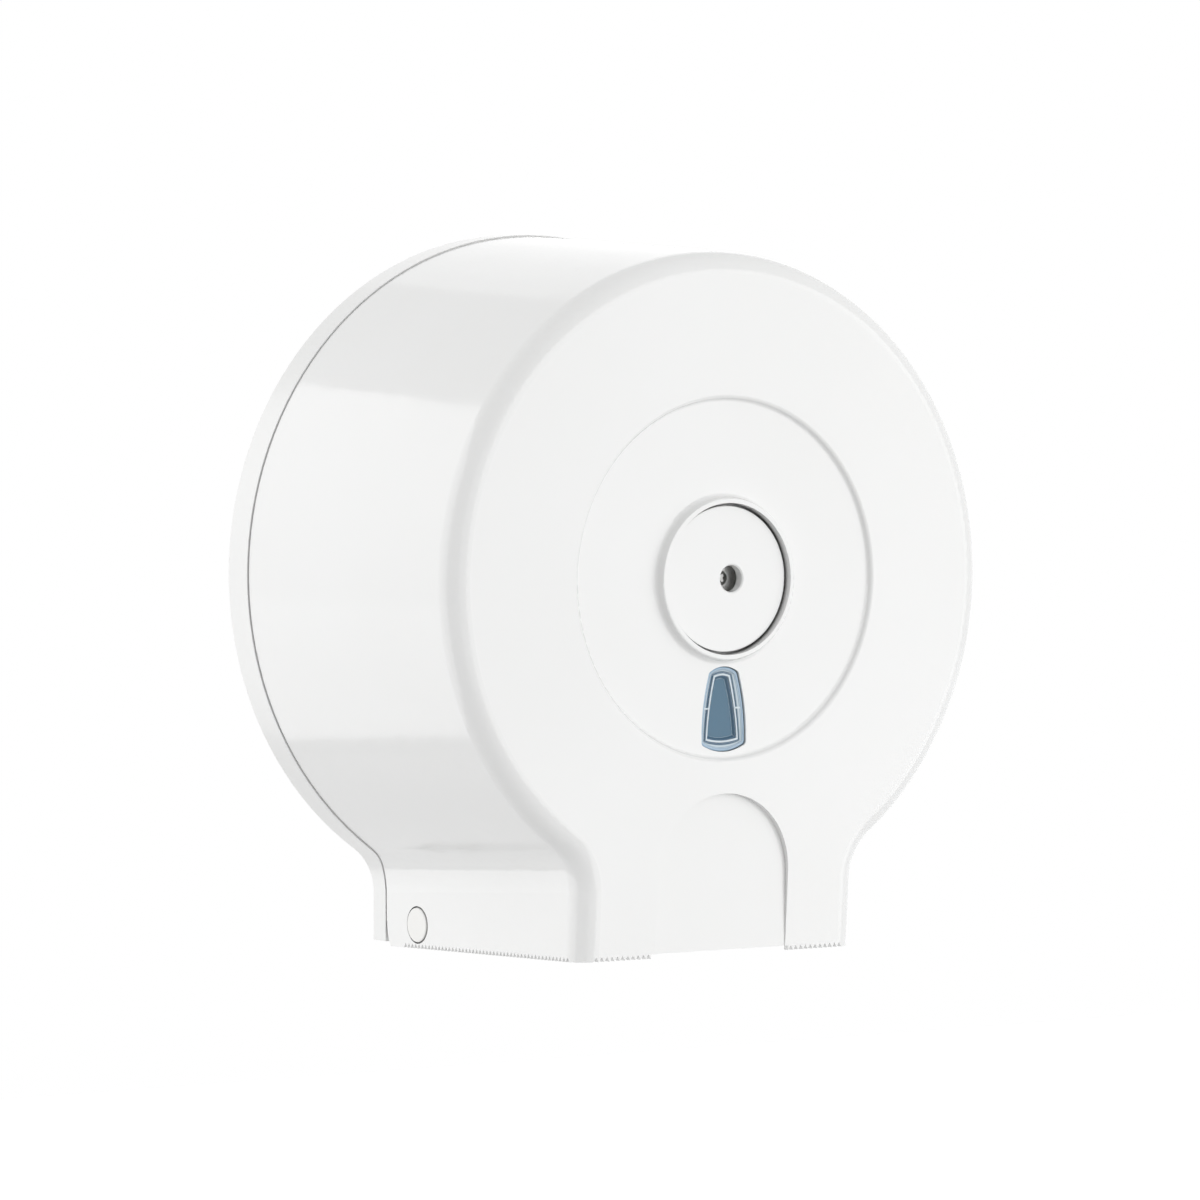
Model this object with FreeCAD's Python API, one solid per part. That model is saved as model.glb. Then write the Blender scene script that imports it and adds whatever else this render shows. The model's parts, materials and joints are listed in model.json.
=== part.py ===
import FreeCAD, Part
import math
import os

# Jumbo toilet roll dispenser, sizes in millimetres and angles in degrees.
# The origin lies on the drum's axis at the wall, +Z is up and the front faces -Y.
# A depth is a distance forward from the wall, and a drop is a distance below the axis.

Vec = FreeCAD.Vector
overrun = 12.0

# Drum and skirt outline
rim_radius = 136.5
rim_half_width = 67.4
corner_radius = 22.0
skirt_reach = 13.9

# Seam between the back plate and the cover
drum_seam_depth = 14.0
skirt_seam_depth = 9.0
seam_curve_top_rise = 43.4
seam_curve_low_rise = 20.4
seam_gap = 0.4

# Front cover shell
crown_depth = 153.3
crown_radius = 2000.0
cover_rim_step = 0.6
cover_side_step = 0.3
cover_draft = 3.1
cover_wall = 2.6
front_edge_radius = 9.3
tip_reach = 1.8
tip_slope = 1.4

# Saw teeth on the lower edges
tooth_height = 1.9
tooth_pitch = 2.45
side_teeth_start_depth = 22.0
side_teeth_front_margin = 13.1
front_teeth_inner_margin = 1.7
front_teeth_outer_margin = 5.6

# Dish, raised ring and lock pocket in the cover
dish_radius = 70.6
dish_sink = 3.4
dish_slope_share = 0.52
dish_round = 1.3
ring_height = 3.8
ring_base_radius = 32.7
ring_top_radius = 31.8
ring_foot_round = 1.8
ring_edge_round = 0.5
pocket_radius = 30.0
pocket_sink = 6.6
pocket_back_radius = 31.3
lock_hole_radius = 12.4

# Arched recess at the bottom of the front
arch_half_width = 31.8
arch_dish_gap = 14.2
arch_top_recess = 3.4
arch_low_recess = 0.25

# Back plate
floor_thickness = 3.0
rim_wall = 2.2
lip_inset = 6.8
lip_wall = 2.0
lip_reach = 3.6
pad_radius = 36.0
pad_depth = 8.0
rib_width = 2.0
rib_depth = 7.0
rib_count = 8
rib_ring_radius = 78.0
slot_spacing_x = 150.0
slot_spacing_z = 140.0
slot_half_width = 2.75
slot_length = 14.0
slot_pad_margin = 5.0
slot_pad_depth = 5.0

# Hinge
pin_depth = 31.8
pin_rise = 8.3
pin_radius = 3.5
pin_head_radius = 7.0
pin_head_height = 1.7
pin_head_edge = 0.5
pin_head_proud = 0.5
pin_end_chamfer = 0.6
pin_clearance = 0.1
head_clearance = 0.6
ear_radius = 7.4
ear_thickness = 4.6
ear_gap = 0.5
hinge_boss_radius = 10.4
hinge_boss_height = 2.0
swing_clearance = 0.5
gusset_reach = 14.0
gusset_thickness = 2.2
pin_washer_radius = 6.6
pin_washer_thickness = 1.0
pin_washer_slots = 4
pin_washer_slot_width = 1.0
pin_washer_slot_length = 1.8
pin_end_length = 1.2

# Spindle and roll hub
flange_radius = 32.0
flange_thickness = 5.0
spindle_radius = 15.0
spindle_bore_radius = 12.5
spindle_setback = 43.3
spindle_end_wall = 7.0
spindle_chamfer = 0.8
hub_clearance = 0.1
hub_end_gap = 0.3
hub_radius = 21.5
hub_shell = 1.8
hub_sleeve = 2.3
hub_rib_count = 6
hub_rib_width = 1.8
hub_rib_setback = 2.0
hub_flange_radius = 34.0
hub_flange_thickness = 2.5
hub_nose_chamfer = 1.2
washer_thickness = 0.8
washer_radius = 20.0
end_washer_radius = 19.5
end_washer_thickness = 1.5

# Screws
screw_radius = 2.0
screw_hole_clearance = 0.15
screw_head_radius = 3.6
screw_head_height = 2.2
screw_head_edge = 0.6
screw_head_clearance = 0.3
screw_recess_width = 0.9
screw_recess_length = 3.8
screw_recess_depth = 1.1
screw_point = 0.8
spindle_screw_circle = 24.0
spindle_screw_count = 4
spindle_screw_grip = 4.5

# Keeper bracket
keeper_thickness = 2.0
keeper_half_width = 9.0
keeper_foot_half_width = 13.0
keeper_foot_low = 9.0
keeper_foot_high = 8.0
keeper_top = 17.6
keeper_leg_thickness = 2.1
keeper_setback = 29.3
keeper_tab_low = 10.5
keeper_screw_x = 8.0
keeper_screw_grip = 6.0

# Centre cap
cap_radius = 28.9
cap_sink = 2.6
cap_edge_radius = 0.5
key_hole_radius = 5.3
key_hole_chamfer = 0.5
cap_hollow_inner_radius = 12.4
cap_hollow_outer_radius = 25.6
cap_skin = 2.0
post_circle = 20.0
post_count = 3
post_radius = 3.4
post_clearance = 0.4
post_setback = 0.2

# Lock housing and barrel, set a little to the right of the drum's axis
lock_shift = 2.9
housing_flange_radius = 27.0
housing_flange_thickness = 2.5
housing_radius = 11.4
housing_keeper_gap = 2.5
housing_front_gap = 0.2
housing_web_count = 3
housing_web_radius = 19.0
housing_web_length = 12.0
housing_web_thickness = 2.0
barrel_radius = 7.0
barrel_clearance = 0.06
barrel_head_radius = 8.4
barrel_head_height = 1.8
barrel_head_clearance = 0.3
barrel_seat_gap = 0.3
barrel_sink = 3.3
barrel_nose_radius = 5.7
barrel_nose_length = 2.0
cam_keeper_gap = 0.4
socket_radius = 2.9
socket_length = 4.5
key_pin_radius = 1.1
key_pin_sink = 0.4
key_pin_lobe_radius = 0.7
key_pin_lobe_circle = 1.2
key_pin_lobes = 4
drive_half_width = 3.2
drive_length = 2.0
clip_outer_radius = 9.4
clip_groove_radius = 6.2
clip_thickness = 0.9
clip_gap = 0.35
clip_opening = 5.0
clip_ear_radius = 1.1
housing_screw_radius = 1.5
housing_screw_head_radius = 2.9
housing_screw_head_height = 1.9
housing_screw_grip = 4.5

# Latch cam
cam_length = 14.4
cam_hub_radius = 7.2
cam_tip_radius = 4.5
cam_thickness = 2.0
lock_washer_radius = 4.6
lock_washer_thickness = 0.8
lock_washer_teeth = 8
lock_washer_tooth = 0.7
cam_screw_length = 8.0

# Level window
window_top_drop = 34.6
window_shoulder_drop = 37.0
window_shoulder_half = 7.2
window_middle_half = 10.2
window_low_half = 10.8
window_low_drop = 65.4
window_bottom_drop = 68.4
window_corner_radius = 1.8
window_fit = 0.15
window_recess = 0.8
window_flange = 3.0
window_flange_thickness = 1.4
window_edge_round = 0.6
basin_margin = 1.0
basin_depth = 1.2
basin_foot = 0.9
pane_top_drop = 37.9
pane_shoulder_drop = 38.6
pane_shoulder_half = 3.6
pane_middle_half = 6.2
pane_low_half = 7.5
pane_low_drop = 63.4
pane_bottom_drop = 64.4
pane_slope_width = 1.5
pane_slope_depth = 0.8
ridge_half_width = 0.3
ridge_height = 0.6
tick_half_width = 0.3
tick_height = 0.9
stake_radius = 1.1
stake_head_radius = 1.9
stake_head_height = 0.8
stake_clearance = 0.1
stake_margin = 1.55
stake_low_share = 0.93

# Values worked out from the sizes above
draft_slope = math.tan(math.radians(cover_draft))
tip_rise = math.tan(math.radians(tip_slope))
plate_drop = rim_radius + skirt_reach
tip_drop = plate_drop + tip_reach
pin_drop = plate_drop - pin_rise
seam_curve_top_drop = plate_drop - seam_curve_top_rise
seam_curve_low_drop = plate_drop - seam_curve_low_rise
cover_radius = rim_radius - cover_rim_step
cover_half_width = rim_half_width - cover_side_step
arch_top_drop = dish_radius + arch_dish_gap
arch_spring_drop = arch_top_drop + arch_half_width
side_teeth_end_depth = crown_depth - side_teeth_front_margin
front_teeth_inner_x = arch_half_width + front_teeth_inner_margin
front_teeth_outer_x = cover_half_width - front_teeth_outer_margin
dish_depth = crown_depth - dish_sink
dish_back_depth = dish_depth - cover_wall
dish_back_radius = dish_radius + cover_wall
ring_depth = dish_depth + ring_height
pocket_depth = ring_depth - pocket_sink
pocket_back_depth = pocket_depth - cover_wall
cap_depth = ring_depth - cap_sink
spindle_end_depth = crown_depth - spindle_setback
keeper_depth = crown_depth - keeper_setback
housing_back_depth = keeper_depth + housing_keeper_gap
barrel_tail_depth = keeper_depth - keeper_thickness - cam_keeper_gap
cover_inner_x = cover_half_width - cover_wall
hinge_boss_x = cover_inner_x - hinge_boss_height
ear_outer_x = hinge_boss_x - ear_gap
ear_inner_x = ear_outer_x - ear_thickness
flange_front = pad_depth + flange_thickness
spindle_screw_seat = flange_front - screw_head_height
hub_back = flange_front + washer_thickness + hub_end_gap
hub_front = spindle_end_depth - hub_end_gap
keeper_foot_depth = spindle_end_depth + end_washer_thickness
keeper_foot_front = keeper_foot_depth + keeper_thickness
barrel_face_depth = pocket_depth - barrel_sink
barrel_head_front = barrel_face_depth - barrel_nose_length
housing_flange_back = pocket_back_depth - housing_flange_thickness
cam_depth = barrel_tail_depth
cam_back_depth = cam_depth - cam_thickness
clip_depth = housing_back_depth - clip_gap


# Plain shapes

def disc(radius, back, front, x=0, z=0):
    base = Vec(x, -back, z)
    return Part.makeCylinder(radius, front - back, base, Vec(0, -1, 0))


def ring(outer, inner, back, front, x=0, z=0):
    return disc(outer, back, front, x, z).cut(disc(inner, back - overrun, front + overrun, x, z))


def cone(back_radius, front_radius, back, front, x=0, z=0):
    base = Vec(x, -back, z)
    return Part.makeCone(back_radius, front_radius, front - back, base, Vec(0, -1, 0))


def block(x_low, x_high, back, front, z_low, z_high):
    corner = Vec(x_low, -front, z_low)
    return Part.makeBox(x_high - x_low, front - back, z_high - z_low, corner)


def rod(radius, x_from, x_to, depth, drop):
    base = Vec(x_from, -depth, -drop)
    return Part.makeCylinder(radius, x_to - x_from, base, Vec(1, 0, 0))


def turned(shape, angle):
    copy = shape.copy()
    copy.rotate(Vec(0, 0, 0), Vec(0, 1, 0), angle)
    return copy


def mirrored(shape):
    return shape.mirror(Vec(0, 0, 0), Vec(1, 0, 0))


def on_lock_axis(shape):
    copy = shape.copy()
    copy.translate(Vec(lock_shift, 0, 0))
    return copy


def around(shape, count, start=0):
    return [turned(shape, start + i * 360 / count) for i in range(count)]


def fused(first, others):
    return first.multiFuse(others).removeSplitter()


def arc(start, middle, end):
    return Part.Arc(start, middle, end).toShape()


def line(start, end):
    return Part.makeLine(start, end)


def single(shape):
    return shape.Solids[0]


def rounded(shape, radius, circle_radius, depth):
    edges = []
    for edge in shape.Edges:
        box = edge.BoundBox
        level = abs((box.YMin + box.YMax) / 2 + depth) < radius / 2 and box.YLength < radius / 2
        if level and abs(box.XMax - circle_radius) < radius / 2 and abs(box.XMin + circle_radius) < radius / 2:
            edges.append(edge)
    return shape.makeFillet(radius, edges)


# Outline of drum and skirt, seen from the front

def outline(radius, half_width, corner, drop, depth):
    centre_x = half_width + corner
    centre_z = -math.sqrt((radius + corner) ** 2 - centre_x ** 2)
    centre = Vec(centre_x, -depth, centre_z)
    touch = Vec(centre_x, 0, centre_z) * (radius / (radius + corner))
    touch.y = -depth
    side = Vec(half_width, -depth, centre_z)
    inward = (touch - centre).normalize() + (side - centre).normalize()
    middle = centre + inward.normalize() * corner
    low = Vec(half_width, -depth, -drop)
    crown = Vec(0, -depth, radius)

    def left(point):
        return Vec(-point.x, point.y, point.z)

    edges = [
        arc(touch, Vec(radius, -depth, 0), crown),
        arc(crown, left(Vec(radius, -depth, 0)), left(touch)),
        arc(left(touch), left(middle), left(side)),
        line(left(side), left(low)),
        line(left(low), low),
        line(low, side),
        arc(side, middle, touch),
    ]
    return Part.Wire(edges)


def outline_slab(inset, back, front):
    wire = outline(rim_radius - inset, rim_half_width - inset, corner_radius + inset,
                   plate_drop - inset, back)
    return Part.Face(wire).extrude(Vec(0, back - front, 0))


def in_front_of_seam(shift):
    drum = drum_seam_depth + shift
    skirt = skirt_seam_depth + shift
    far = crown_depth + overrun
    middle = (seam_curve_top_drop + seam_curve_low_drop) / 2
    top = rim_radius + overrun
    low = tip_drop + overrun
    x = rim_radius + overrun
    curve = Part.BezierCurve()
    poles = [(drum, seam_curve_top_drop), (drum, middle), (skirt, middle), (skirt, seam_curve_low_drop)]
    curve.setPoles([Vec(-x, -depth, -drop) for depth, drop in poles])
    start = Vec(-x, -drum, -seam_curve_top_drop)
    end = Vec(-x, -skirt, -seam_curve_low_drop)
    corners = [end, Vec(-x, -skirt, -low), Vec(-x, -far, -low), Vec(-x, -far, top), Vec(-x, -drum, top), start]
    edges = [curve.toShape()]
    edges += [line(a, b) for a, b in zip(corners, corners[1:])]
    return Part.Face(Part.Wire(edges)).extrude(Vec(2 * x, 0, 0))


# Screws with pan heads, pointing to the wall unless flipped

def screw(radius, head_radius, head_height, seat, length, x=0, z=0, forward=False):
    shank = disc(radius, seat - length + screw_point, seat, x, z)
    point = cone(radius / 2, radius, seat - length, seat - length + screw_point, x, z)
    head = disc(head_radius, seat, seat + head_height, x, z)
    front_edges = [e for e in head.Edges if abs(e.CenterOfMass.y + seat + head_height) < screw_head_edge / 2]
    head = head.makeFillet(screw_head_edge, front_edges[:1])
    half = screw_recess_length / 2 * head_radius / screw_head_radius
    width = screw_recess_width / 2
    top = seat + head_height
    bar = block(x - half, x + half, top - screw_recess_depth, top + overrun, z - width, z + width)
    cross = block(x - width, x + width, top - screw_recess_depth, top + overrun, z - half, z + half)
    solid = fused(shank, [point, head]).cut(bar.fuse(cross))
    if forward:
        solid = solid.mirror(Vec(0, -seat, 0), Vec(0, 1, 0))
    return single(solid)


def circle_places(radius, count, start):
    angles = [math.radians(start + i * 360 / count) for i in range(count)]
    return [(radius * math.cos(a), radius * math.sin(a)) for a in angles]


# Back plate

def slot(half_width, back, front, x, z):
    half = slot_length / 2 - slot_half_width
    middle = block(x - half, x + half, back, front, z - half_width, z + half_width)
    ends = [disc(half_width, back, front, x + side * half, z) for side in (-1, 1)]
    return middle.multiFuse(ends)


def slot_places():
    half_x = slot_spacing_x / 2
    half_z = slot_spacing_z / 2
    return [(x, z) for x in (-half_x, half_x) for z in (-half_z, half_z)]


def hinge_ear():
    end = rod(ear_radius, ear_inner_x, ear_outer_x, pin_depth, pin_drop)
    arm = block(ear_inner_x, ear_outer_x, 0, pin_depth, -pin_drop - ear_radius, -pin_drop + ear_radius)
    foot = floor_thickness / 2
    top = -pin_drop + ear_radius
    x = ear_inner_x + gusset_thickness
    corners = [Vec(x, -foot, top), Vec(x, -pin_depth, top), Vec(x, -foot, top + gusset_reach), Vec(x, -foot, top)]
    web = Part.Face(Part.makePolygon(corners)).extrude(Vec(gusset_thickness, 0, 0))
    return fused(end, [arm, web])


def back_plate():
    floor = outline_slab(0, 0, floor_thickness)
    rim = outline_slab(0, 0, drum_seam_depth).cut(outline_slab(rim_wall, -overrun, drum_seam_depth + overrun))
    rim = rim.cut(in_front_of_seam(-seam_gap / 2))
    lip_depth = drum_seam_depth + lip_reach
    lip = outline_slab(lip_inset, 0, lip_depth)
    lip = lip.cut(outline_slab(lip_inset + lip_wall, -overrun, lip_depth + overrun))
    lip = lip.cut(in_front_of_seam(lip_reach))
    pad = disc(pad_radius, 0, pad_depth)
    rib_outer = rim_radius - lip_inset - lip_wall / 2
    rib = block(pad_radius - rib_width, rib_outer, 0, rib_depth, -rib_width / 2, rib_width / 2)
    low_rib = 360 / rib_count / 2
    ribs = around(rib, rib_count, low_rib)
    ribs.append(ring(rib_ring_radius + rib_width / 2, rib_ring_radius - rib_width / 2, 0, rib_depth))
    slot_pads = [slot(slot_half_width + slot_pad_margin, 0, slot_pad_depth, x, z) for x, z in slot_places()]
    ears = [hinge_ear(), mirrored(hinge_ear())]
    solid = fused(floor, [rim, lip, pad] + ribs + slot_pads + ears)
    holes = [slot(slot_half_width, -overrun, rib_depth + overrun, x, z) for x, z in slot_places()]
    clears = [slot(slot_half_width + slot_pad_margin, slot_pad_depth, rib_depth + overrun, x, z)
              for x, z in slot_places()]
    pilots = [disc(screw_radius, pad_depth - spindle_screw_grip, pad_depth + overrun, x, z)
              for x, z in circle_places(spindle_screw_circle, spindle_screw_count, 45)]
    pin_hole = rod(pin_radius, -rim_radius, rim_radius, pin_depth, pin_drop)
    return single(solid.cut(holes + clears + pilots + [pin_hole]))


# Spindle, hub and what holds them

def spindle():
    flange = disc(flange_radius, pad_depth, flange_front)
    axle = disc(spindle_radius, pad_depth, spindle_end_depth)
    end_edges = [e for e in axle.Edges if abs(e.CenterOfMass.y + spindle_end_depth) < spindle_chamfer]
    axle = axle.makeChamfer(spindle_chamfer, end_edges[:1])
    solid = fused(flange, [axle])
    bore = disc(spindle_bore_radius, pad_depth - overrun, spindle_end_depth - spindle_end_wall)
    holes = [disc(screw_radius + screw_hole_clearance, pad_depth - overrun, flange_front + overrun, x, z)
             for x, z in circle_places(spindle_screw_circle, spindle_screw_count, 45)]
    holes += [disc(screw_head_radius + screw_head_clearance, spindle_screw_seat, flange_front + overrun, x, z)
              for x, z in circle_places(spindle_screw_circle, spindle_screw_count, 45)]
    back = spindle_end_depth - keeper_screw_grip
    holes += [disc(screw_radius, back, spindle_end_depth + overrun, x) for x in (-keeper_screw_x, keeper_screw_x)]
    return single(solid.cut([bore] + holes))


def spindle_screws():
    length = spindle_screw_seat - pad_depth + spindle_screw_grip
    return [screw(screw_radius, screw_head_radius, screw_head_height, spindle_screw_seat, length, x, z)
            for x, z in circle_places(spindle_screw_circle, spindle_screw_count, 45)]


def roll_hub():
    bore = spindle_radius + hub_clearance
    sleeve = disc(bore + hub_sleeve, hub_back, hub_front)
    shell_outer = disc(hub_radius, hub_back, hub_front)
    nose = [e for e in shell_outer.Edges if abs(e.CenterOfMass.y + hub_front) < hub_nose_chamfer / 2]
    shell_outer = shell_outer.makeChamfer(hub_nose_chamfer, nose[:1])
    hollow = disc(hub_radius - hub_shell, hub_back + hub_flange_thickness, hub_front + overrun)
    shell = shell_outer.cut(hollow)
    rib = block(bore + hub_sleeve / 2, hub_radius - hub_shell / 2, hub_back, hub_front - hub_rib_setback,
                -hub_rib_width / 2, hub_rib_width / 2)
    flange = disc(hub_flange_radius, hub_back, hub_back + hub_flange_thickness)
    solid = fused(sleeve, [shell, flange] + around(rib, hub_rib_count))
    return single(solid.cut(disc(bore, hub_back - overrun, hub_front + overrun)))


def hub_washer():
    return ring(washer_radius, spindle_radius + hub_clearance, flange_front, flange_front + washer_thickness)


def keeper_screw_holes(radius, back):
    return [disc(radius, back, back + overrun, x) for x in (-keeper_screw_x, keeper_screw_x)]


def end_washer():
    washer = disc(end_washer_radius, spindle_end_depth, keeper_foot_depth)
    return washer.cut(keeper_screw_holes(screw_radius + screw_hole_clearance, spindle_end_depth - overrun / 2))


def keeper_bracket():
    foot = block(-keeper_foot_half_width, keeper_foot_half_width, keeper_foot_depth, keeper_foot_front,
                 -keeper_foot_low, keeper_foot_high)
    neck = block(-keeper_half_width, keeper_half_width, keeper_foot_depth, keeper_foot_front, 0, keeper_top)
    leg = block(-keeper_half_width, keeper_half_width, keeper_foot_depth, keeper_depth,
                keeper_top - keeper_leg_thickness, keeper_top)
    tab = block(-keeper_half_width, keeper_half_width, keeper_depth - keeper_thickness, keeper_depth,
                keeper_tab_low, keeper_top)
    solid = fused(foot, [neck, leg, tab])
    radius = screw_radius + screw_hole_clearance
    return single(solid.cut(keeper_screw_holes(radius, keeper_foot_depth - overrun / 2)))


def keeper_screws():
    length = end_washer_thickness + keeper_thickness + keeper_screw_grip
    return [screw(screw_radius, screw_head_radius, screw_head_height, keeper_foot_front, length, x)
            for x in (-keeper_screw_x, keeper_screw_x)]


# Hinge pins on the right side, and their mirror images on the left

def head_seat_x():
    return cover_half_width + pin_head_proud - pin_head_height


def hinge_pin():
    inner_x = ear_inner_x - pin_washer_thickness - pin_end_length
    seat_x = head_seat_x()
    shank = rod(pin_radius, inner_x, seat_x, pin_depth, pin_drop)
    tip = [e for e in shank.Edges if abs(e.CenterOfMass.x - inner_x) < pin_end_chamfer / 2]
    shank = shank.makeChamfer(pin_end_chamfer, tip[:1])
    head = rod(pin_head_radius, seat_x, seat_x + pin_head_height, pin_depth, pin_drop)
    outer = [e for e in head.Edges if abs(e.CenterOfMass.x - seat_x - pin_head_height) < pin_head_edge / 2]
    head = head.makeFillet(pin_head_edge, outer[:1])
    return single(fused(shank, [head]))


def pin_washer():
    inner_x = ear_inner_x - pin_washer_thickness
    washer = rod(pin_washer_radius, inner_x, ear_inner_x, pin_depth, pin_drop)
    reach = pin_radius + pin_washer_slot_length
    half = pin_washer_slot_width / 2
    cuts = [rod(pin_radius, inner_x - overrun, ear_inner_x + overrun, pin_depth, pin_drop)]
    for i in range(pin_washer_slots):
        notch = Part.makeBox(ear_outer_x, pin_washer_slot_width, reach, Vec(0, -half, 0))
        notch.rotate(Vec(0, 0, 0), Vec(1, 0, 0), i * 360 / pin_washer_slots)
        notch.translate(Vec(0, -pin_depth, -pin_drop))
        cuts.append(notch)
    return single(washer.cut(cuts))


# Front cover

def crown_ball(inset):
    return Part.makeSphere(crown_radius - inset, Vec(0, crown_radius - crown_depth, 0))


def drum_body(inset, edge_radius):
    back = 0
    front = crown_depth + overrun
    wires = []
    for depth in (back, front):
        radius = cover_radius - (depth - drum_seam_depth) * draft_slope
        wires.append(outline(radius - inset, cover_half_width - inset, corner_radius + inset,
                             tip_drop + overrun, depth))
    body = Part.makeLoft(wires, True, True).common(crown_ball(inset))
    limit = -crown_depth + overrun + front_edge_radius
    low = -tip_drop - overrun
    edges = []
    for edge in body.Edges:
        box = edge.BoundBox
        on_front = box.YMax < limit and box.ZMax > low + seam_gap
        if on_front and box.YLength < overrun:
            edges.append(edge)
    return body.makeFillet(edge_radius, edges)


def panel_depth(drop):
    top_front = crown_depth - arch_top_drop ** 2 / (2 * crown_radius)
    low_front = crown_depth - tip_drop ** 2 / (2 * crown_radius)
    top = top_front - arch_top_recess
    low = low_front - arch_low_recess
    share = (drop - arch_top_drop) / (tip_drop - arch_top_drop)
    return top + (low - top) * share


def arch_slab(margin, inset, front):
    half = arch_half_width + margin
    top = arch_top_drop - margin
    low = tip_drop + overrun
    upper = Vec(-half, -panel_depth(top) + inset, -top)
    lower = Vec(-half, -panel_depth(low) + inset, -low)
    corners = [upper, lower, Vec(-half, -front, -low), Vec(-half, -front, -top), upper]
    wedge = Part.Face(Part.makePolygon(corners)).extrude(Vec(2 * half, 0, 0))
    tall = disc(half, crown_depth / 2, front, 0, -arch_spring_drop)
    tall = tall.fuse(block(-half, half, crown_depth / 2, front, -low, -arch_spring_drop))
    return wedge.common(tall)


def comb(start, end, tips):
    count = int((end - start) / tooth_pitch)
    points = []
    for i in range(count + 1):
        place = start + i * tooth_pitch
        points.append((place, tips(place)))
        if i < count:
            middle = place + tooth_pitch / 2
            points.append((middle, tips(middle) - tooth_height))
    return points


def tip_at(depth):
    return tip_drop - (depth - skirt_seam_depth) * tip_rise


def side_teeth_cut():
    points = comb(side_teeth_start_depth, side_teeth_end_depth, tip_at)
    low = tip_drop + overrun
    x = rim_radius
    outer = [Vec(-x, -depth, -drop) for depth, drop in points]
    outer += [Vec(-x, -side_teeth_end_depth, -low), Vec(-x, -side_teeth_start_depth, -low), outer[0]]
    return Part.Face(Part.makePolygon(outer)).extrude(Vec(2 * x, 0, 0))


def front_teeth_cut():
    tip = tip_at(crown_depth - front_edge_radius)
    points = comb(front_teeth_inner_x, front_teeth_outer_x, lambda place: tip)
    low = tip_drop + overrun
    y = -crown_depth - overrun
    outer = [Vec(x, y, -drop) for x, drop in points]
    outer += [Vec(points[-1][0], y, -low), Vec(points[0][0], y, -low), outer[0]]
    teeth = Part.Face(Part.makePolygon(outer)).extrude(Vec(0, 2 * overrun, 0))
    inner = front_teeth_inner_x
    plain = block(-inner, inner, crown_depth - 2 * overrun, crown_depth + overrun, -low, tooth_height - tip)
    return teeth.multiFuse([mirrored(teeth), plain])


def under_tips():
    low = tip_drop + 2 * overrun
    far = crown_depth + overrun
    x = rim_radius
    corners = [Vec(-x, 0, -tip_at(0)), Vec(-x, -far, -tip_at(far)), Vec(-x, -far, -low), Vec(-x, 0, -low)]
    return Part.Face(Part.makePolygon(corners + corners[:1])).extrude(Vec(2 * x, 0, 0))


def corner_swing_cut():
    radius = pin_depth - skirt_seam_depth - swing_clearance
    x = rim_radius
    low = tip_drop + overrun
    zone = block(-x, x, 0, pin_depth, -low, -pin_drop)
    return zone.cut(rod(radius, -x, x, pin_depth, pin_drop))


def window_wire(top, shoulder, shoulder_half, middle_half, low_half, low, bottom, depth, grow=0):
    left_top = Vec(-shoulder_half - grow, -depth, -shoulder + grow)
    right_top = Vec(shoulder_half + grow, -depth, -shoulder + grow)
    middle_drop = (shoulder + low) / 2
    right_middle = Vec(middle_half + grow, -depth, -middle_drop)
    left_middle = Vec(-middle_half - grow, -depth, -middle_drop)
    right_low = Vec(low_half + grow, -depth, -low - grow)
    left_low = Vec(-low_half - grow, -depth, -low - grow)
    edges = [
        arc(left_top, Vec(0, -depth, -top + grow), right_top),
        arc(right_top, right_middle, right_low),
        arc(right_low, Vec(0, -depth, -bottom - grow), left_low),
        arc(left_low, left_middle, left_top),
    ]
    return Part.Wire(edges)


def window_prism(grow, back, front):
    wire = window_wire(window_top_drop, window_shoulder_drop, window_shoulder_half, window_middle_half,
                       window_low_half, window_low_drop, window_bottom_drop, back, grow)
    solid = Part.Face(wire).extrude(Vec(0, back - front, 0))
    length = front - back
    upright = [e for e in solid.Edges if e.BoundBox.YLength > length / 2]
    return solid.makeFillet(window_corner_radius + grow, upright)


def stake_places():
    top = window_top_drop - stake_margin
    low = window_low_drop * stake_low_share
    x = window_low_half + stake_margin
    bottom = window_bottom_drop + stake_margin
    return [(0, -top), (-x, -low), (x, -low), (0, -bottom)]


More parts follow.
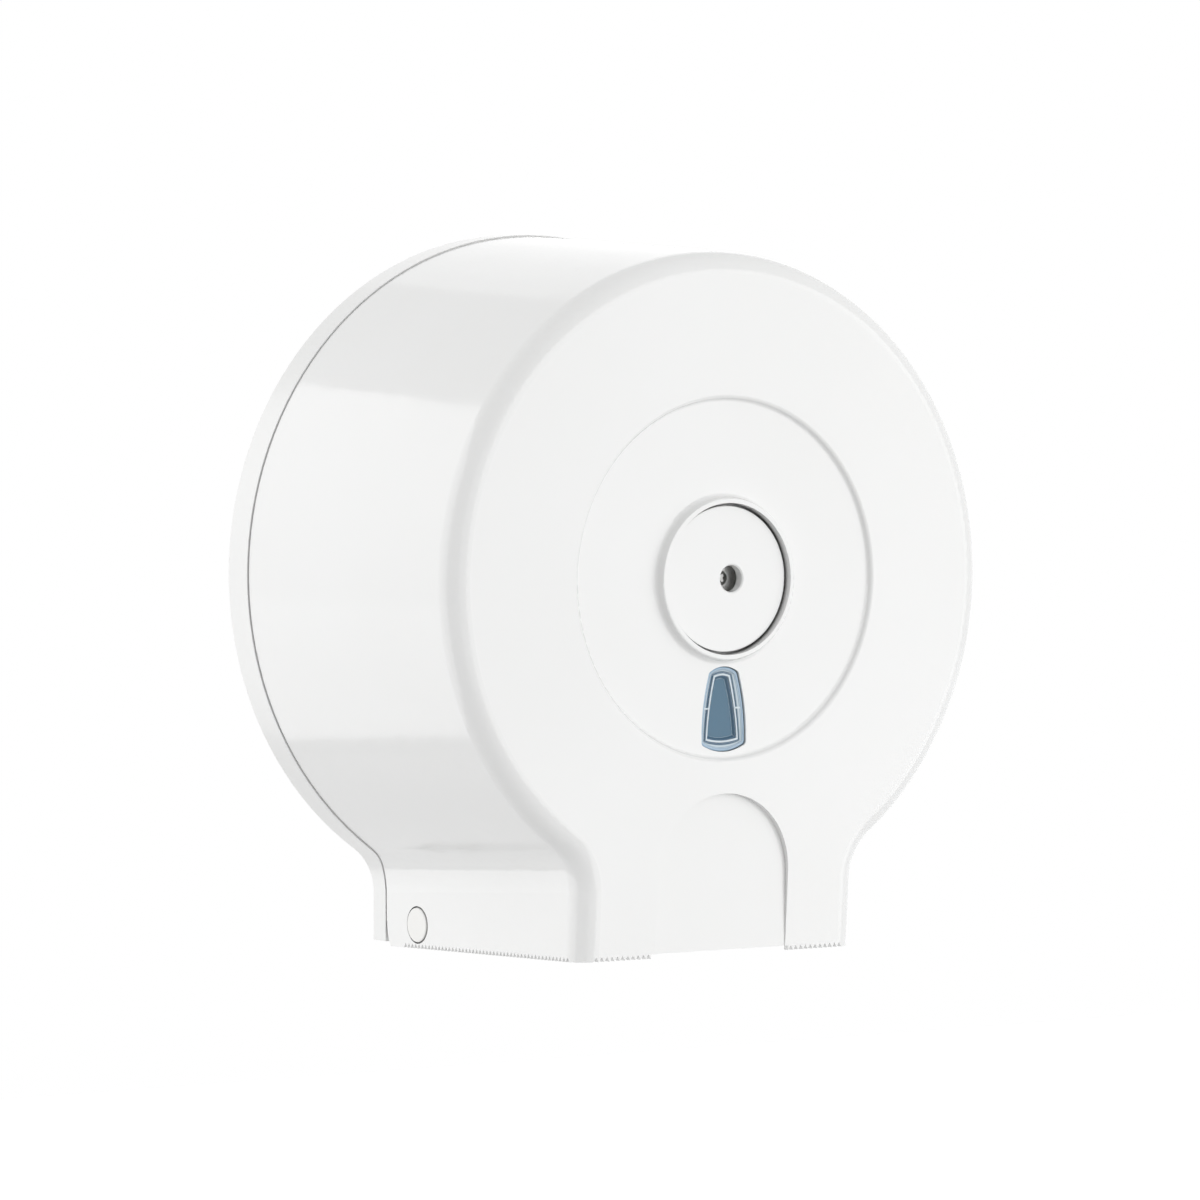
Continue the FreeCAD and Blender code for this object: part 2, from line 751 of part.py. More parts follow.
def front_cover():
    outer = drum_body(0, front_edge_radius)
    inner = drum_body(cover_wall, front_edge_radius - cover_wall)
    shell = outer.cut(inner)
    inside = outer.common(block(-rim_radius, rim_radius, 0, dish_depth, -tip_drop - overrun, rim_radius))
    dish_back = disc(dish_back_radius, dish_back_depth, dish_depth + cover_wall).common(outer)
    pocket_back = disc(pocket_back_radius, pocket_back_depth, dish_depth)
    arch_back = arch_slab(cover_wall, cover_wall, crown_depth).common(outer)
    bosses = []
    for side in (-1, 1):
        ends = sorted([side * hinge_boss_x, side * (cover_half_width - seam_gap)])
        bosses.append(rod(hinge_boss_radius, ends[0], ends[1], pin_depth, pin_drop).common(inside))
    solid = fused(shell, [dish_back, pocket_back, arch_back] + bosses)
    front = crown_depth + overrun
    dish = cone(dish_radius, dish_radius + overrun * dish_slope_share, dish_depth, dish_depth + overrun)
    solid = solid.cut(rounded(dish, dish_round, dish_radius, dish_depth))
    rise = crown_depth - (dish_radius + dish_sink) ** 2 / (2 * crown_radius) - dish_depth
    solid = rounded(solid, dish_round, dish_radius + rise * dish_slope_share, dish_depth + rise)
    ring_body = cone(ring_base_radius, ring_top_radius, dish_depth, ring_depth)
    ring_body = rounded(ring_body, ring_edge_round, ring_top_radius, ring_depth)
    solid = rounded(solid.fuse(ring_body), ring_foot_round, ring_base_radius, dish_depth)
    cuts = [disc(pocket_radius, pocket_depth, front), on_lock_axis(disc(lock_hole_radius, 0, front))]
    cuts += [on_lock_axis(disc(post_radius + post_clearance, dish_back_depth - overrun, front, x, z))
             for x, z in circle_places(post_circle, post_count, 90)]
    cuts.append(window_prism(0, dish_back_depth - overrun, front))
    cuts.append(arch_slab(0, 0, front))
    cuts.append(side_teeth_cut())
    cuts.append(front_teeth_cut())
    cuts.append(under_tips())
    cuts.append(corner_swing_cut())
    cuts.append(rod(pin_radius + pin_clearance, -rim_radius, rim_radius, pin_depth, pin_drop))
    seat = head_seat_x() - seam_gap / 2
    cuts.append(rod(pin_head_radius + head_clearance, seat, rim_radius, pin_depth, pin_drop))
    cuts.append(rod(pin_head_radius + head_clearance, -rim_radius, -seat, pin_depth, pin_drop))
    solid = solid.cut(cuts).common(in_front_of_seam(seam_gap / 2))
    stakes = []
    for x, z in stake_places():
        flange_back = dish_back_depth - window_flange_thickness
        stakes.append(disc(stake_radius, flange_back, dish_back_depth, x, z))
        stakes.append(disc(stake_head_radius, flange_back - stake_head_height, flange_back, x, z))
    return single(fused(solid, stakes))


# Level window

def pane_wire(grow, depth):
    return window_wire(pane_top_drop, pane_shoulder_drop, pane_shoulder_half, pane_middle_half, pane_low_half,
                       pane_low_drop, pane_bottom_drop, depth, grow)


def level_window():
    front = dish_depth - window_recess
    flange_back = dish_back_depth - window_flange_thickness
    body = window_prism(-window_fit, flange_back, front)
    rim_edges = [e for e in body.Edges if e.BoundBox.YMax < -front + window_fit]
    body = body.makeFillet(window_edge_round, rim_edges)
    flange = window_prism(window_flange, flange_back, dish_back_depth)
    solid = fused(body, [flange])
    rim = window_wire(window_top_drop, window_shoulder_drop, window_shoulder_half, window_middle_half,
                      window_low_half, window_low_drop, window_bottom_drop, front, -basin_margin)
    floor = front - basin_depth
    pane = floor - pane_slope_depth
    basin = Part.makeLoft([pane_wire(basin_foot, floor), rim], True, True)
    hollow = Part.makeLoft([pane_wire(-pane_slope_width, pane), pane_wire(-ridge_half_width, floor)], True, True)
    ridge_length = Vec(0, -ridge_height, 0)
    ridge = Part.Face(pane_wire(ridge_half_width, floor)).extrude(ridge_length)
    ridge = ridge.cut(Part.Face(pane_wire(-ridge_half_width, floor)).extrude(ridge_length))
    drop = (window_shoulder_drop + window_low_drop) / 2
    ticks = []
    for side in (-1, 1):
        ends = sorted([side * pane_middle_half, side * (window_middle_half - basin_margin)])
        ticks.append(block(ends[0], ends[1], floor - ridge_height / 2, floor + tick_height,
                           -drop - tick_half_width, -drop + tick_half_width))
    holes = [disc(stake_radius + stake_clearance, flange_back - overrun, dish_depth, x, z)
             for x, z in stake_places()]
    solid = solid.cut([basin, hollow]).multiFuse([ridge] + ticks)
    return single(solid.cut(holes))


# Centre cap and lock

def centre_cap():
    cap = disc(cap_radius, pocket_depth, cap_depth)
    rim = [e for e in cap.Edges if abs(e.CenterOfMass.y + cap_depth) < cap_edge_radius / 2]
    cap = cap.makeFillet(cap_edge_radius, rim[:1])
    hollow = ring(cap_hollow_outer_radius, cap_hollow_inner_radius, pocket_depth - overrun, cap_depth - cap_skin)
    cap = cap.cut(hollow)
    posts = [disc(post_radius, pocket_back_depth + post_setback, cap_depth - cap_skin / 2, x, z)
             for x, z in circle_places(post_circle, post_count, 90)]
    cuts = [disc(housing_screw_radius, pocket_back_depth - overrun, pocket_back_depth + housing_screw_grip, x, z)
            for x, z in circle_places(post_circle, post_count, 90)]
    cuts.append(disc(key_hole_radius, pocket_depth - overrun, cap_depth + overrun))
    cuts.append(cone(key_hole_radius, key_hole_radius + key_hole_chamfer, cap_depth - key_hole_chamfer, cap_depth))
    solid = fused(cap, [on_lock_axis(post) for post in posts])
    return single(solid.cut([on_lock_axis(cut) for cut in cuts]))


def lock_housing():
    front = pocket_depth - housing_front_gap
    flange = disc(housing_flange_radius, housing_flange_back, pocket_back_depth)
    tube = disc(housing_radius, housing_back_depth, front)
    x = housing_web_thickness / 2
    base = housing_flange_back + housing_flange_thickness / 2
    corners = [Vec(-x, -base, housing_radius / 2), Vec(-x, -base, housing_web_radius),
               Vec(-x, -housing_flange_back, housing_web_radius),
               Vec(-x, -housing_flange_back + housing_web_length, housing_radius),
               Vec(-x, -housing_flange_back + housing_web_length, housing_radius / 2),
               Vec(-x, -base, housing_radius / 2)]
    web = Part.Face(Part.makePolygon(corners)).extrude(Vec(2 * x, 0, 0))
    solid = fused(flange, [tube] + around(web, housing_web_count, 180 / housing_web_count))
    bore = disc(barrel_radius + barrel_clearance, housing_back_depth - overrun, front + overrun)
    seat_back = barrel_head_front - barrel_head_height - barrel_seat_gap
    seat = disc(barrel_head_radius + barrel_head_clearance, seat_back, front + overrun)
    holes = [disc(housing_screw_radius + screw_hole_clearance, housing_flange_back - overrun, front, x, z)
             for x, z in circle_places(post_circle, post_count, 90)]
    return single(solid.cut([bore, seat] + holes))


def lock_housing_screws():
    length = housing_flange_thickness + housing_screw_grip
    return [screw(housing_screw_radius, housing_screw_head_radius, housing_screw_head_height, housing_flange_back,
                  length, x, z, forward=True)
            for x, z in circle_places(post_circle, post_count, 90)]


def lock_barrel():
    face = barrel_face_depth
    body = disc(barrel_radius, barrel_tail_depth, barrel_head_front)
    head = disc(barrel_head_radius, barrel_head_front - barrel_head_height, barrel_head_front)
    nose = disc(barrel_nose_radius, barrel_head_front - barrel_head_height, face)
    half = drive_half_width
    drive = block(-half, half, barrel_tail_depth - drive_length, barrel_tail_depth, -half, half)
    solid = fused(body, [head, nose, drive])
    socket_back = face - socket_length
    pin_back = socket_back - key_pin_sink
    pin_front = face - key_pin_sink
    lobes = [disc(key_pin_lobe_radius, pin_back, pin_front, x, z)
             for x, z in circle_places(key_pin_lobe_circle, key_pin_lobes, 45)]
    key_pin = fused(disc(key_pin_radius, pin_back, pin_front), lobes)
    socket = disc(socket_radius, socket_back, face + overrun).cut(key_pin)
    clip_groove = ring(barrel_radius + overrun, clip_groove_radius, clip_depth - clip_thickness, clip_depth)
    thread = disc(screw_radius, cam_back_depth - overrun, barrel_tail_depth - drive_length + cam_screw_length)
    return single(solid.cut([socket, clip_groove, thread]))


def lock_clip():
    outer = disc(clip_outer_radius, clip_depth - clip_thickness, clip_depth)
    outer = outer.cut(disc(clip_groove_radius, clip_depth - overrun, clip_depth + overrun))
    half = clip_opening / 2
    mouth = block(-half, half, clip_depth - overrun, clip_depth + overrun, -clip_outer_radius - overrun, 0)
    holes = [disc(clip_ear_radius, clip_depth - overrun, clip_depth + overrun, side * clip_groove_radius,
                  -clip_groove_radius + clip_ear_radius) for side in (-1, 1)]
    return single(outer.cut([mouth] + holes))


def latch_cam():
    back = cam_back_depth
    hub = disc(cam_hub_radius, back, cam_depth)
    reach = cam_length - cam_tip_radius
    tip = disc(cam_tip_radius, back, cam_depth, reach)
    arm = block(0, reach, back, cam_depth, -cam_tip_radius, cam_tip_radius)
    half = drive_half_width
    hole = block(-half, half, back - overrun, cam_depth + overrun, -half, half)
    return single(fused(hub, [tip, arm]).cut(hole))


def latch_washer():
    front = cam_back_depth
    washer = ring(lock_washer_radius, screw_radius + screw_hole_clearance, front - lock_washer_thickness, front)
    half = lock_washer_tooth / 2
    tooth = block(lock_washer_radius - lock_washer_tooth, lock_washer_radius + overrun,
                  front - lock_washer_thickness - overrun, front + overrun, -half, half)
    return single(washer.cut(around(tooth, lock_washer_teeth)))


def latch_screw():
    seat = cam_back_depth - lock_washer_thickness
    length = barrel_tail_depth - drive_length - seat + cam_screw_length
    return screw(screw_radius, screw_head_radius, screw_head_height, seat, length, forward=True)


nodes = {
    "back_plate": back_plate(),
    "spindle": spindle(),
    "spindle_screws": spindle_screws(),
    "roll_hub": roll_hub(),
    "hub_washer": hub_washer(),
    "end_washer": end_washer(),
    "keeper_bracket": keeper_bracket(),
    "keeper_screws": keeper_screws(),
    "hinge_pin_right": hinge_pin(),
    "hinge_pin_left": mirrored(hinge_pin()),
    "pin_washer_right": pin_washer(),
    "pin_washer_left": mirrored(pin_washer()),
    "front_cover": front_cover(),
    "level_window": level_window(),
    "centre_cap": centre_cap(),
    "lock_housing": on_lock_axis(lock_housing()),
    "lock_housing_screws": [on_lock_axis(one) for one in lock_housing_screws()],
    "lock_barrel": on_lock_axis(lock_barrel()),
    "lock_clip": on_lock_axis(lock_clip()),
    "latch_cam": on_lock_axis(latch_cam()),
    "latch_washer": on_lock_axis(latch_washer()),
    "latch_screw": on_lock_axis(latch_screw()),
}

os.makedirs("parts", exist_ok=True)
for name, shape in nodes.items():
    solid = Part.makeCompound(shape) if isinstance(shape, list) else shape
    solid.exportStep("parts/" + name + ".step")
    box = solid.BoundBox
    print(name, len(solid.Solids), solid.isValid(), round(solid.Volume / 1000, 2),
          [round(v, 1) for v in (box.XMin, box.XMax, box.YMin, box.YMax, box.ZMin, box.ZMax)])
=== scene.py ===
import bpy
import json
import math
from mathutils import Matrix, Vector

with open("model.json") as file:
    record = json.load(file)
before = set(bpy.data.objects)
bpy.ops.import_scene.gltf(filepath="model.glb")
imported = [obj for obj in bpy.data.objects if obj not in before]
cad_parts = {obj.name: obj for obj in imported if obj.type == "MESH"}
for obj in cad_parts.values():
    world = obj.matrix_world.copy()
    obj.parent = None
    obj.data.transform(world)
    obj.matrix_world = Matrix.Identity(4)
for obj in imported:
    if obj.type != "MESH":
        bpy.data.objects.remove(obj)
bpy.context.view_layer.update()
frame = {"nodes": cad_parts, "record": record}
nodes = frame["nodes"]
mm = 0.001
print("frame loaded:", len(nodes), "nodes")

# camera, found by fitting the drum's circles and the straight lower edges in the photo

cameraSet = {
    "target": (0.3 * mm, -64 * mm, -11.35 * mm),
    "azimuth": -34.88,      # degrees, from the object's front towards its left side
    "elevation": 2.39,
    "distance": 2831.6 * mm,
    "focalPixels": 7000,    # in the 1200 pixel wide picture
    "imagePixels": 1200,
    "sensorWidth": 36,
    "farClip": 50,
}


def makeCamera(s):
    turn, lift = math.radians(s["azimuth"]), math.radians(s["elevation"])
    back = Vector((math.sin(turn) * math.cos(lift), -math.cos(turn) * math.cos(lift), math.sin(lift)))
    data = bpy.data.cameras.new("camera")
    data.sensor_width = s["sensorWidth"]
    data.lens = s["focalPixels"] / s["imagePixels"] * s["sensorWidth"]
    data.clip_end = s["farClip"]
    cam = bpy.data.objects.new("camera", data)
    bpy.context.scene.collection.objects.link(cam)
    cam.location = Vector(s["target"]) + back * s["distance"]
    cam.rotation_mode = "QUATERNION"
    cam.rotation_quaternion = (-back).to_track_quat("-Z", "Y")
    bpy.context.scene.camera = cam


makeCamera(cameraSet)
print("camera placed")

# studio: pale floor, white surroundings for the camera, soft boxes

studioSet = {
    "floorDrop": 1.25,
    "floorSize": 16,
    "floorColour": (0.5, 0.5, 0.5, 1),
    "floorRough": 0.6,
    "floorGlow": 0.75,
    "white": (1, 1, 1, 1),
    "skyStrength": 0.69,
    "boxes": [
        # name, place, what it faces, width, height, power
        ("sideBox", (-1.3, 0.8, 0.04), (-0.1, -0.06, 0.04), 2.3, 2.35, 15.6),
        ("frontBox", (1.25, -2.0, 0.05), (0, -0.12, 0.05), 2.6, 2.0, 23.0),
        ("cornerBox", (-0.6, -2.45, 0.05), (-0.1, -0.12, 0.05), 1.5, 2.0, 3.6),
        ("rearBox", (1.1, 1.9, 0.975), (0, -0.06, 0.975), 1.3, 1.75, 1.6),
    ],
}


def whenSeen(tree, lit, seen):    # seen by the camera, in a mirror or through glass
    path = tree.nodes.new("ShaderNodeLightPath")
    chosen = path.outputs["Is Camera Ray"]
    for ray in ("Is Glossy Ray", "Is Transmission Ray"):
        more = tree.nodes.new("ShaderNodeMath")
        more.operation = "MAXIMUM"
        tree.links.new(chosen, more.inputs[0])
        tree.links.new(path.outputs[ray], more.inputs[1])
        chosen = more.outputs[0]
    mix = tree.nodes.new("ShaderNodeMixShader")
    for socket, value in zip(mix.inputs, (chosen, lit, seen)):
        tree.links.new(value, socket)
    return mix.outputs[0]


def makeWorld(s):
    world = bpy.data.worlds.new("studio")
    bpy.context.scene.world = world
    world.use_nodes = True
    tree = world.node_tree
    tree.nodes.clear()
    skies = []
    for strength in (s["skyStrength"], 1):
        sky = tree.nodes.new("ShaderNodeBackground")
        sky.inputs["Color"].default_value = s["white"]
        sky.inputs["Strength"].default_value = strength
        skies.append(sky.outputs[0])
    out = tree.nodes.new("ShaderNodeOutputWorld")
    tree.links.new(whenSeen(tree, skies[0], skies[1]), out.inputs["Surface"])


def makeFloor(s):
    bpy.ops.object.select_all(action="DESELECT")
    bpy.ops.mesh.primitive_plane_add(size=s["floorSize"], location=(0, 0, -s["floorDrop"]))
    floor = bpy.context.object
    floor.name = "floor"
    mat = bpy.data.materials.new("paleFloor")
    mat.use_nodes = True
    tree = mat.node_tree
    shader = tree.nodes["Principled BSDF"]
    shader.inputs["Base Color"].default_value = s["floorColour"]
    shader.inputs["Roughness"].default_value = s["floorRough"]
    glow = tree.nodes.new("ShaderNodeEmission")    # lifts the floor to white where the camera sees it
    glow.inputs["Color"].default_value = s["white"]
    glow.inputs["Strength"].default_value = s["floorGlow"]
    both = tree.nodes.new("ShaderNodeAddShader")
    tree.links.new(shader.outputs[0], both.inputs[0])
    tree.links.new(glow.outputs[0], both.inputs[1])
    seen = whenSeen(tree, shader.outputs[0], both.outputs[0])
    tree.links.new(seen, tree.nodes["Material Output"].inputs["Surface"])
    floor.data.materials.append(mat)


def makeLights(s):
    for name, place, aim, width, height, power in s["boxes"]:
        light = bpy.data.lights.new(name, "AREA")
        light.shape = "RECTANGLE"
        light.size = width
        light.size_y = height
        light.energy = power
        lamp = bpy.data.objects.new(name, light)
        bpy.context.scene.collection.objects.link(lamp)
        lamp.visible_camera = False
        lamp.location = place
        lamp.rotation_mode = "QUATERNION"
        lamp.rotation_quaternion = (Vector(aim) - Vector(place)).to_track_quat("-Z", "Y")


bpy.context.scene.view_settings.view_transform = "Standard"
makeWorld(studioSet)
makeFloor(studioSet)
makeLights(studioSet)
print("studio built")


# finishes

def objectPoint(tree, scale=(1, 1, 1), shift=(0, 0, 0)):
    place = tree.nodes.new("ShaderNodeTexCoord")
    mapping = tree.nodes.new("ShaderNodeMapping")
    mapping.inputs["Scale"].default_value = scale
    mapping.inputs["Location"].default_value = shift
    tree.links.new(place.outputs["Object"], mapping.inputs["Vector"])
    return mapping.outputs["Vector"]


def noise(tree, point, scale, detail=2, rough=0.5):
    node = tree.nodes.new("ShaderNodeTexNoise")
    node.inputs["Scale"].default_value = scale
    node.inputs["Detail"].default_value = detail
    node.inputs["Roughness"].default_value = rough
    tree.links.new(point, node.inputs["Vector"])
    return node.outputs["Fac"]


def span(tree, value, fromLow, fromHigh, toLow, toHigh):
    node = tree.nodes.new("ShaderNodeMapRange")
    for key, number in (("From Min", fromLow), ("From Max", fromHigh), ("To Min", toLow), ("To Max", toHigh)):
        node.inputs[key].default_value = number
    tree.links.new(value, node.inputs["Value"])
    return node.outputs["Result"]


def blendColour(tree, factor, first, second):
    node = tree.nodes.new("ShaderNodeMix")
    node.data_type = "RGBA"
    tree.links.new(factor, node.inputs["Factor"])
    for socket, colour in ((node.inputs[6], first), (node.inputs[7], second)):
        if isinstance(colour, tuple):
            socket.default_value = colour
        else:
            tree.links.new(colour, socket)
    return node.outputs[2]


def bump(tree, height, strength, distance, under=None):
    node = tree.nodes.new("ShaderNodeBump")
    node.inputs["Strength"].default_value = strength
    node.inputs["Distance"].default_value = distance
    tree.links.new(height, node.inputs["Height"])
    if under is not None:
        tree.links.new(under, node.inputs["Normal"])
    return node.outputs["Normal"]


def nearEdge(tree, s):     # 1 on the corners, 0 on flat faces
    edge = tree.nodes.new("ShaderNodeBevel")
    edge.samples = s["edgeSamples"]
    edge.inputs["Radius"].default_value = s["edgeWidth"]
    geometry = tree.nodes.new("ShaderNodeNewGeometry")
    agree = tree.nodes.new("ShaderNodeVectorMath")
    agree.operation = "DOT_PRODUCT"
    tree.links.new(edge.outputs[0], agree.inputs[0])
    tree.links.new(geometry.outputs["Normal"], agree.inputs[1])
    return span(tree, agree.outputs["Value"], s["edgeStart"], s["edgeFull"], 0, 1)


def newMaterial(name):
    mat = bpy.data.materials.new(name)
    mat.use_nodes = True
    return mat, mat.node_tree, mat.node_tree.nodes["Principled BSDF"]


def mouldedPlastic(name, s):
    mat, tree, shader = newMaterial(name)
    point = objectPoint(tree)
    cloud = noise(tree, point, s["cloudScale"], s["cloudDetail"])
    clouded = span(tree, cloud, s["cloudLow"], s["cloudHigh"], 0, 1)
    colour = blendColour(tree, clouded, s["colour"], s["colourTwo"])
    gap = tree.nodes.new("ShaderNodeAmbientOcclusion")     # painted shade: near-black colour mixed in deep in the narrow gaps and seams, where shade falls
    gap.samples = s["gapSamples"]
    gap.inputs["Distance"].default_value = s["gapReach"]
    gapShade = span(tree, gap.outputs["AO"], s["gapOpen"], s["gapShut"], 0, s["gapShadeShare"])
    # painted shade: the gap shade colour is blended over the plastic's own colour
    colour = blendColour(tree, gapShade, colour, s["gapShadeColour"])
    rub = nearEdge(tree, s)     # rubbed corners are a little duller
    smear = noise(tree, objectPoint(tree, scale=s["smearStretch"]), s["smearScale"], s["smearDetail"],
                  s["smearRough"])
    dull = span(tree, smear, s["smearLow"], s["smearHigh"], s["roughLow"], s["roughHigh"])
    total = tree.nodes.new("ShaderNodeMath")
    total.operation = "MULTIPLY_ADD"
    total.inputs[1].default_value = s["edgeDull"]
    tree.links.new(rub, total.inputs[0])
    tree.links.new(dull, total.inputs[2])
    tree.links.new(total.outputs[0], shader.inputs["Roughness"])
    tree.links.new(colour, shader.inputs["Base Color"])
    peel = bump(tree, noise(tree, point, s["peelScale"], 1), s["peelStrength"], s["peelHeight"])
    grain = bump(tree, noise(tree, point, s["grainScale"], 2), s["grainStrength"], s["grainHeight"], peel)
    tree.links.new(grain, shader.inputs["Normal"])
    shader.inputs["IOR"].default_value = s["refraction"]
    shader.inputs["Coat Weight"].default_value = s["coat"]
    shader.inputs["Coat Roughness"].default_value = s["coatRough"]
    shader.inputs["Subsurface Weight"].default_value = s["depth"]
    shader.inputs["Subsurface Radius"].default_value = s["depthShares"]
    shader.inputs["Subsurface Scale"].default_value = s["depthReach"]
    return mat


coverFinish = {
    "colour": (0.87, 0.872, 0.868, 1), "colourTwo": (0.855, 0.857, 0.85, 1),
    "cloudScale": 9, "cloudDetail": 3, "cloudLow": 0.35, "cloudHigh": 0.65,
    "smearScale": 26, "smearDetail": 5, "smearRough": 0.62, "smearStretch": (1, 1, 0.25),
    "smearLow": 0.35, "smearHigh": 0.7, "roughLow": 0.09, "roughHigh": 0.17,
    "edgeWidth": 0.9 * mm, "edgeSamples": 4, "edgeStart": 0.985, "edgeFull": 0.93, "edgeDull": 0.12,
    "peelScale": 210, "peelStrength": 0.12, "peelHeight": 0.12 * mm,
    "grainScale": 2600, "grainStrength": 0.05, "grainHeight": 0.02 * mm,
    "refraction": 1.53, "coat": 0.25, "coatRough": 0.08,
    "depth": 0.06, "depthShares": (1, 0.95, 0.9), "depthReach": 1.5 * mm, "gapSamples": 6,
    # gap keys paint shade: near-black colour in the narrow gaps and seams
    "gapReach": 2.5 * mm, "gapOpen": 0.46, "gapShut": 0.22, "gapShadeShare": 1, "gapShadeColour": (0.02, 0.02, 0.018, 1),
}
# the back plate and the pin get a weaker share of the painted gap shade
baseFinish = dict(coverFinish, colour=(0.85, 0.852, 0.845, 1), colourTwo=(0.83, 0.832, 0.825, 1),
                  smearScale=12, roughLow=0.285, roughHigh=0.315, peelStrength=0.1, gapShadeShare=0.25)
pinFinish = dict(coverFinish, colour=(0.875, 0.872, 0.855, 1), colourTwo=(0.86, 0.857, 0.835, 1),
                 roughLow=0.2, roughHigh=0.3, coat=0.1, gapShadeShare=0.4)
hubFinish = dict(coverFinish, colour=(0.70, 0.70, 0.68, 1), colourTwo=(0.66, 0.66, 0.64, 1),
                 roughLow=0.38, roughHigh=0.55, coat=0, grainStrength=0.3, grainHeight=0.05 * mm)


def tintedClear(name, s):
    mat, tree, shader = newMaterial(name)
    point = objectPoint(tree)
    parts = tree.nodes.new("ShaderNodeSeparateXYZ")
    tree.links.new(point, parts.inputs[0])
    deep = span(tree, parts.outputs["Y"], s["frontAt"], s["frontAt"] + s["depth"], 0, 1)
    ramp = tree.nodes.new("ShaderNodeValToRGB")     # blue tint with painted light and shade by depth: painted highlights on the thick rim and ridge, painted shade on the deep floor
    tree.links.new(deep, ramp.inputs["Fac"])
    stops = ramp.color_ramp.elements
    while len(stops) < len(s["tintShadeStops"]):
        stops.new(1)
    for stop, (place, colour) in zip(stops, s["tintShadeStops"]):
        stop.position = place
        stop.color = colour
    cloud = noise(tree, point, s["cloudScale"], s["cloudDetail"])
    cloud = span(tree, cloud, s["noiseLow"], s["noiseHigh"], 0, s["cloudShare"])
    shadedTint = blendColour(tree, cloud, ramp.outputs["Color"], s["cloudTint"])
    glint = nearEdge(tree, s)     # painted highlight: pale colour on the corners of the clear plastic
    tree.links.new(blendColour(tree, glint, shadedTint, s["edgeHighlightColour"]), shader.inputs["Base Color"])
    flow = noise(tree, objectPoint(tree, scale=s["flowStretch"]), s["flowScale"])
    rough = span(tree, flow, s["noiseLow"], s["noiseHigh"], s["roughLow"], s["roughHigh"])
    tree.links.new(rough, shader.inputs["Roughness"])
    tree.links.new(bump(tree, flow, s["flowStrength"], s["flowHeight"]), shader.inputs["Normal"])
    shader.inputs["IOR"].default_value = s["refraction"]
    shader.inputs["Transmission Weight"].default_value = s["clear"]
    return mat


windowFinish = {
    "frontAt": -149.1 * mm, "depth": 2.1 * mm,
    # colour stops by depth: partly the blue of the plastic, partly painted light and shade; pale stops are painted
    # highlights, dark stops painted shade
    "tintShadeStops": [(0.0, (0.46, 0.62, 0.78, 1)), (0.09, (0.38, 0.55, 0.72, 1)), (0.14, (0.84, 0.94, 0.99, 1)),
              (0.20, (0.26, 0.42, 0.58, 1)), (0.25, (0.86, 0.95, 1, 1)), (0.38, (0.78, 0.91, 0.99, 1)),
              (0.50, (0.05, 0.125, 0.21, 1)), (0.64, (0.10, 0.20, 0.31, 1)), (0.80, (0.03, 0.09, 0.155, 1)),
              (0.93, (0.05, 0.16, 0.26, 1))],
    "cloudScale": 70, "cloudDetail": 3, "cloudShare": 0.12, "cloudTint": (0.05, 0.17, 0.28, 1),
    # edge keys paint a highlight: pale colour on the window's corners
    "edgeWidth": 0.35 * mm, "edgeSamples": 4, "edgeStart": 0.985, "edgeFull": 0.88, "edgeHighlightColour": (0.88, 0.96, 1, 1),
    "noiseLow": 0.3, "noiseHigh": 0.7, "flowStretch": (1, 1, 0.3), "refraction": 1.49,
    "flowScale": 90, "flowStrength": 0.12, "flowHeight": 0.1 * mm,
    "roughLow": 0.06, "roughHigh": 0.14, "clear": 0.15,
}


def turnedMetal(name, s):
    mat, tree, shader = newMaterial(name)
    place = objectPoint(tree, scale=(1, 0, 1), shift=(-s["axisAt"], 0, 0))
    away = tree.nodes.new("ShaderNodeVectorMath")
    away.operation = "LENGTH"
    tree.links.new(place, away.inputs[0])
    rings = tree.nodes.new("ShaderNodeTexNoise")
    rings.noise_dimensions = "1D"
    rings.inputs["Scale"].default_value = s["ringScale"]
    rings.inputs["Detail"].default_value = s["ringDetail"]
    tree.links.new(away.outputs["Value"], rings.inputs["W"])
    spots = noise(tree, objectPoint(tree), s["spotScale"], s["spotDetail"])
    colour = blendColour(tree, spots, s["colour"], s["colourTwo"])
    tree.links.new(colour, shader.inputs["Base Color"])
    rough = span(tree, spots, s["noiseLow"], s["noiseHigh"], s["roughLow"], s["roughHigh"])
    tree.links.new(rough, shader.inputs["Roughness"])
    grooves = bump(tree, rings.outputs["Fac"], s["ringStrength"], s["ringHeight"])
    tree.links.new(grooves, shader.inputs["Normal"])
    shader.inputs["Metallic"].default_value = 1
    return mat


barrelFinish = {"colour": (0.88, 0.88, 0.87, 1), "colourTwo": (0.36, 0.36, 0.355, 1), "axisAt": 2.9 * mm,
                "ringScale": 5200, "ringDetail": 3, "ringStrength": 0.5, "ringHeight": 0.05 * mm,
                "spotScale": 320, "spotDetail": 4, "noiseLow": 0.3, "noiseHigh": 0.7,
                "roughLow": 0.30, "roughHigh": 0.48}


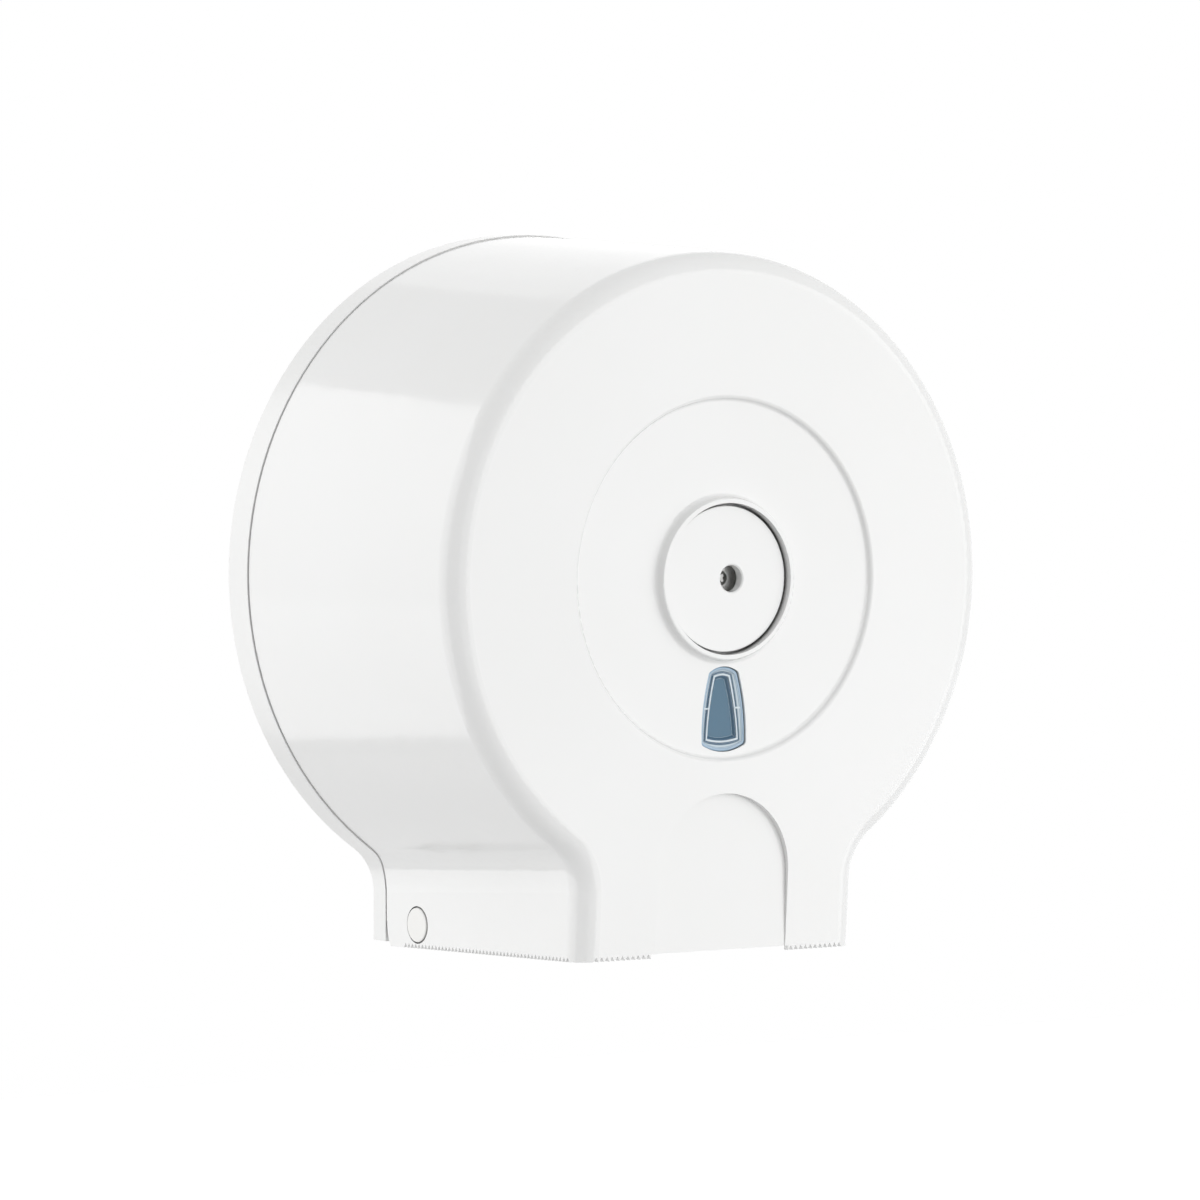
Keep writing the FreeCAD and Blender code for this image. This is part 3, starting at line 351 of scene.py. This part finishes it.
def platedSteel(name, s):
    mat, tree, shader = newMaterial(name)
    point = objectPoint(tree)
    cells = tree.nodes.new("ShaderNodeTexVoronoi")
    cells.inputs["Scale"].default_value = s["cellScale"]
    tree.links.new(point, cells.inputs["Vector"])
    bright = tree.nodes.new("ShaderNodeSeparateColor")
    tree.links.new(cells.outputs["Color"], bright.inputs["Color"])
    colour = blendColour(tree, bright.outputs[0], s["colour"], s["colourTwo"])
    tree.links.new(colour, shader.inputs["Base Color"])
    stain = noise(tree, point, s["stainScale"], s["stainDetail"])
    rough = span(tree, stain, s["noiseLow"], s["noiseHigh"], s["roughLow"], s["roughHigh"])
    tree.links.new(rough, shader.inputs["Roughness"])
    grain = bump(tree, noise(tree, point, s["grainScale"]), s["grainStrength"], s["grainHeight"])
    tree.links.new(grain, shader.inputs["Normal"])
    shader.inputs["Metallic"].default_value = 1
    return mat


bracketFinish = {"colour": (0.62, 0.63, 0.63, 1), "colourTwo": (0.50, 0.51, 0.52, 1), "cellScale": 420,
                 "stainScale": 60, "stainDetail": 4, "noiseLow": 0.3, "noiseHigh": 0.7,
                 "roughLow": 0.28, "roughHigh": 0.45, "grainScale": 2400, "grainStrength": 0.15,
                 "grainHeight": 0.02 * mm}
screwFinish = dict(bracketFinish, colour=(0.60, 0.58, 0.52, 1), colourTwo=(0.50, 0.49, 0.45, 1), cellScale=900)

finishes = {
    "white_cover": mouldedPlastic("glossWhite", coverFinish),
    "white_base": mouldedPlastic("plateWhite", baseFinish),
    "pin_plastic": mouldedPlastic("pinWhite", pinFinish),
    "hub_plastic": mouldedPlastic("hubGrey", hubFinish),
    "blue_clear": tintedClear("windowBlue", windowFinish),
    "lock_metal": turnedMetal("turnedZinc", barrelFinish),
    "bracket_steel": platedSteel("platedSheet", bracketFinish),
    "screw_steel": platedSteel("platedScrew", screwFinish),
}


def dressNodes():
    for part in frame["record"]["subparts"]:
        mesh = nodes[part["node"]].data
        mesh.materials.clear()
        mesh.materials.append(finishes[part["material_slot"]])


dressNodes()
print("finishes applied")
